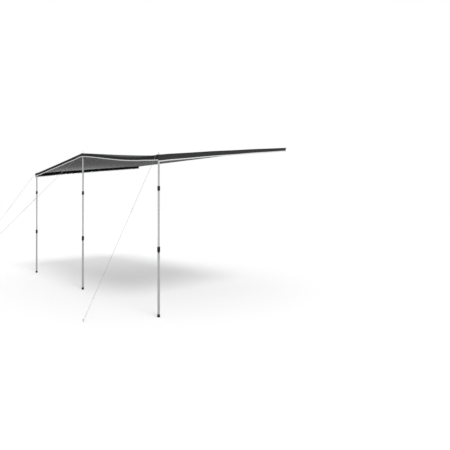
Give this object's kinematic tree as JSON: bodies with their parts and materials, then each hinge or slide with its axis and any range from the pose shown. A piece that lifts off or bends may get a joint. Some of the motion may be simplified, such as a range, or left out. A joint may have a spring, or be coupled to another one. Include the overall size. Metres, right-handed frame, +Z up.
{
  "type": "caravan sun canopy",
  "caption": "Sun canopy for an awning rail: keder edge, ridged cloth roof with bound valances, telescopic clamp poles, guy ropes and pegs.",
  "frame": {"origin": "the keder bead's centre at the middle of its length, 2380 mm above the ground that the feet stand on", "axes": "+X along the awning rail towards the near pole, +Y from the poles to the rail, +Z up"},
  "size_m": [5.1449, 4.609, 2.5537],
  "materials": {
    "canopy_cloth": "matte",
    "valance_cloth": "matte",
    "binding_tape": "matte",
    "keder_tape_cloth": "satin",
    "bead_plastic": "satin",
    "eyelet_metal": "polished",
    "pole_metal": "satin",
    "spike_steel": "satin",
    "bush_plastic": "matte",
    "clamp_plastic": "satin",
    "pin_steel": "satin",
    "foot_rubber": "matte",
    "guy_cord": "matte",
    "runner_plastic": "satin",
    "peg_steel": "satin"
  },
  "bodies": {
    "canopy": {"roof_sheet": "canopy_cloth", "front_valance": "valance_cloth", "near_valance": "valance_cloth", "far_valance": "valance_cloth", "front_binding": "binding_tape", "near_binding": "binding_tape", "far_binding": "binding_tape", "keder_bead": "bead_plastic", "keder_tape": "keder_tape_cloth", "eyelet_patches": "canopy_cloth", "eyelets": "eyelet_metal", "near_guy_rope": "guy_cord", "mid_guy_rope": "guy_cord", "far_guy_rope": "guy_cord", "rope_eyes": "guy_cord", "stopper_knots": "guy_cord", "ground_pegs": "peg_steel"},
    "near_upper_section": {"near_spike_plug": "spike_steel", "near_upper_tube": "pole_metal", "near_upper_bush": "bush_plastic"},
    "near_middle_section": {"near_middle_tube": "pole_metal", "near_upper_clamp": "clamp_plastic", "near_upper_lever_pin": "pin_steel", "near_middle_bush": "bush_plastic"},
    "near_lower_section": {"near_lower_tube": "pole_metal", "near_lower_clamp": "clamp_plastic", "near_lower_lever_pin": "pin_steel", "near_foot": "foot_rubber"},
    "near_upper_lever": {"near_upper_lever": "clamp_plastic"},
    "near_lower_lever": {"near_lower_lever": "clamp_plastic"},
    "near_runner": {"near_runner": "runner_plastic"},
    "mid_upper_section": {"mid_spike_plug": "spike_steel", "mid_upper_tube": "pole_metal", "mid_upper_bush": "bush_plastic"},
    "mid_middle_section": {"mid_middle_tube": "pole_metal", "mid_upper_clamp": "clamp_plastic", "mid_upper_lever_pin": "pin_steel", "mid_middle_bush": "bush_plastic"},
    "mid_lower_section": {"mid_lower_tube": "pole_metal", "mid_lower_clamp": "clamp_plastic", "mid_lower_lever_pin": "pin_steel", "mid_foot": "foot_rubber"},
    "mid_upper_lever": {"mid_upper_lever": "clamp_plastic"},
    "mid_lower_lever": {"mid_lower_lever": "clamp_plastic"},
    "mid_runner": {"mid_runner": "runner_plastic"},
    "far_upper_section": {"far_spike_plug": "spike_steel", "far_upper_tube": "pole_metal", "far_upper_bush": "bush_plastic"},
    "far_middle_section": {"far_middle_tube": "pole_metal", "far_upper_clamp": "clamp_plastic", "far_upper_lever_pin": "pin_steel", "far_middle_bush": "bush_plastic"},
    "far_lower_section": {"far_lower_tube": "pole_metal", "far_lower_clamp": "clamp_plastic", "far_lower_lever_pin": "pin_steel", "far_foot": "foot_rubber"},
    "far_upper_lever": {"far_upper_lever": "clamp_plastic"},
    "far_lower_lever": {"far_lower_lever": "clamp_plastic"},
    "far_runner": {"far_runner": "runner_plastic"}
  },
  "joints": [
    {"name": "near_pole_tilt", "type": "hinge", "parent": "canopy", "child": "near_upper_section", "pos_m": [2.37, -2.47, -0.30629], "axis": [1, 0, 0], "range_deg": [-6, 6]},
    {"name": "near_upper_slide", "type": "slide", "parent": "near_upper_section", "child": "near_middle_section", "axis": [0, 0, 1], "range_m": [-0.446, 0.3]},
    {"name": "near_lower_slide", "type": "slide", "parent": "near_middle_section", "child": "near_lower_section", "axis": [0, 0, 1], "range_m": [-0.1, 0.709]},
    {"name": "near_upper_lever_turn", "type": "hinge", "parent": "near_middle_section", "child": "near_upper_lever", "pos_m": [2.38749, -2.4801, -0.7105], "axis": [-0.5, -0.866, 0], "range_deg": [0, 110]},
    {"name": "near_lower_lever_turn", "type": "hinge", "parent": "near_lower_section", "child": "near_lower_lever", "pos_m": [2.38879, -2.48085, -1.4895], "axis": [-0.5, -0.866, 0], "range_deg": [0, 110]},
    {"name": "near_runner_slide", "type": "slide", "parent": "canopy", "child": "near_runner", "axis": [0.1779, 0.3516, 0.9191], "range_m": [-0.9, 0.035]},
    {"name": "mid_pole_tilt", "type": "hinge", "parent": "canopy", "child": "mid_upper_section", "pos_m": [0, -2.47, -0.08643], "axis": [1, 0, 0], "range_deg": [-8, 8]},
    {"name": "mid_upper_slide", "type": "slide", "parent": "mid_upper_section", "child": "mid_middle_section", "axis": [0, 0, 1], "range_m": [-0.21, 0.569]},
    {"name": "mid_lower_slide", "type": "slide", "parent": "mid_middle_section", "child": "mid_lower_section", "axis": [0, 0, 1], "range_m": [-0.117, 0.692]},
    {"name": "mid_upper_lever_turn", "type": "hinge", "parent": "mid_middle_section", "child": "mid_upper_lever", "pos_m": [0.01749, -2.4801, -0.7275], "axis": [-0.5, -0.866, 0], "range_deg": [0, 110]},
    {"name": "mid_lower_lever_turn", "type": "hinge", "parent": "mid_lower_section", "child": "mid_lower_lever", "pos_m": [0.01879, -2.48085, -1.4895], "axis": [-0.5, -0.866, 0], "range_deg": [0, 110]},
    {"name": "mid_runner_slide", "type": "slide", "parent": "canopy", "child": "mid_runner", "axis": [0.109, 0.6695, 0.7348], "range_m": [-0.9, 0.035]},
    {"name": "far_pole_tilt", "type": "hinge", "parent": "canopy", "child": "far_upper_section", "pos_m": [-2.37, -2.47, -0.30133], "axis": [1, 0, 0], "range_deg": [-8, 8]},
    {"name": "far_upper_slide", "type": "slide", "parent": "far_upper_section", "child": "far_middle_section", "axis": [0, 0, 1], "range_m": [-0.476, 0.282]},
    {"name": "far_lower_slide", "type": "slide", "parent": "far_middle_section", "child": "far_lower_section", "axis": [0, 0, 1], "range_m": [-0.065, 0.744]},
    {"name": "far_upper_lever_turn", "type": "hinge", "parent": "far_middle_section", "child": "far_upper_lever", "pos_m": [-2.35251, -2.4801, -0.6755], "axis": [-0.5, -0.866, 0], "range_deg": [0, 110]},
    {"name": "far_lower_lever_turn", "type": "hinge", "parent": "far_lower_section", "child": "far_lower_lever", "pos_m": [-2.35121, -2.48085, -1.4895], "axis": [-0.5, -0.866, 0], "range_deg": [0, 110]},
    {"name": "far_runner_slide", "type": "slide", "parent": "canopy", "child": "far_runner", "axis": [0.1431, 0.5367, 0.8315], "range_m": [-0.9, 0.035]}
  ]
}
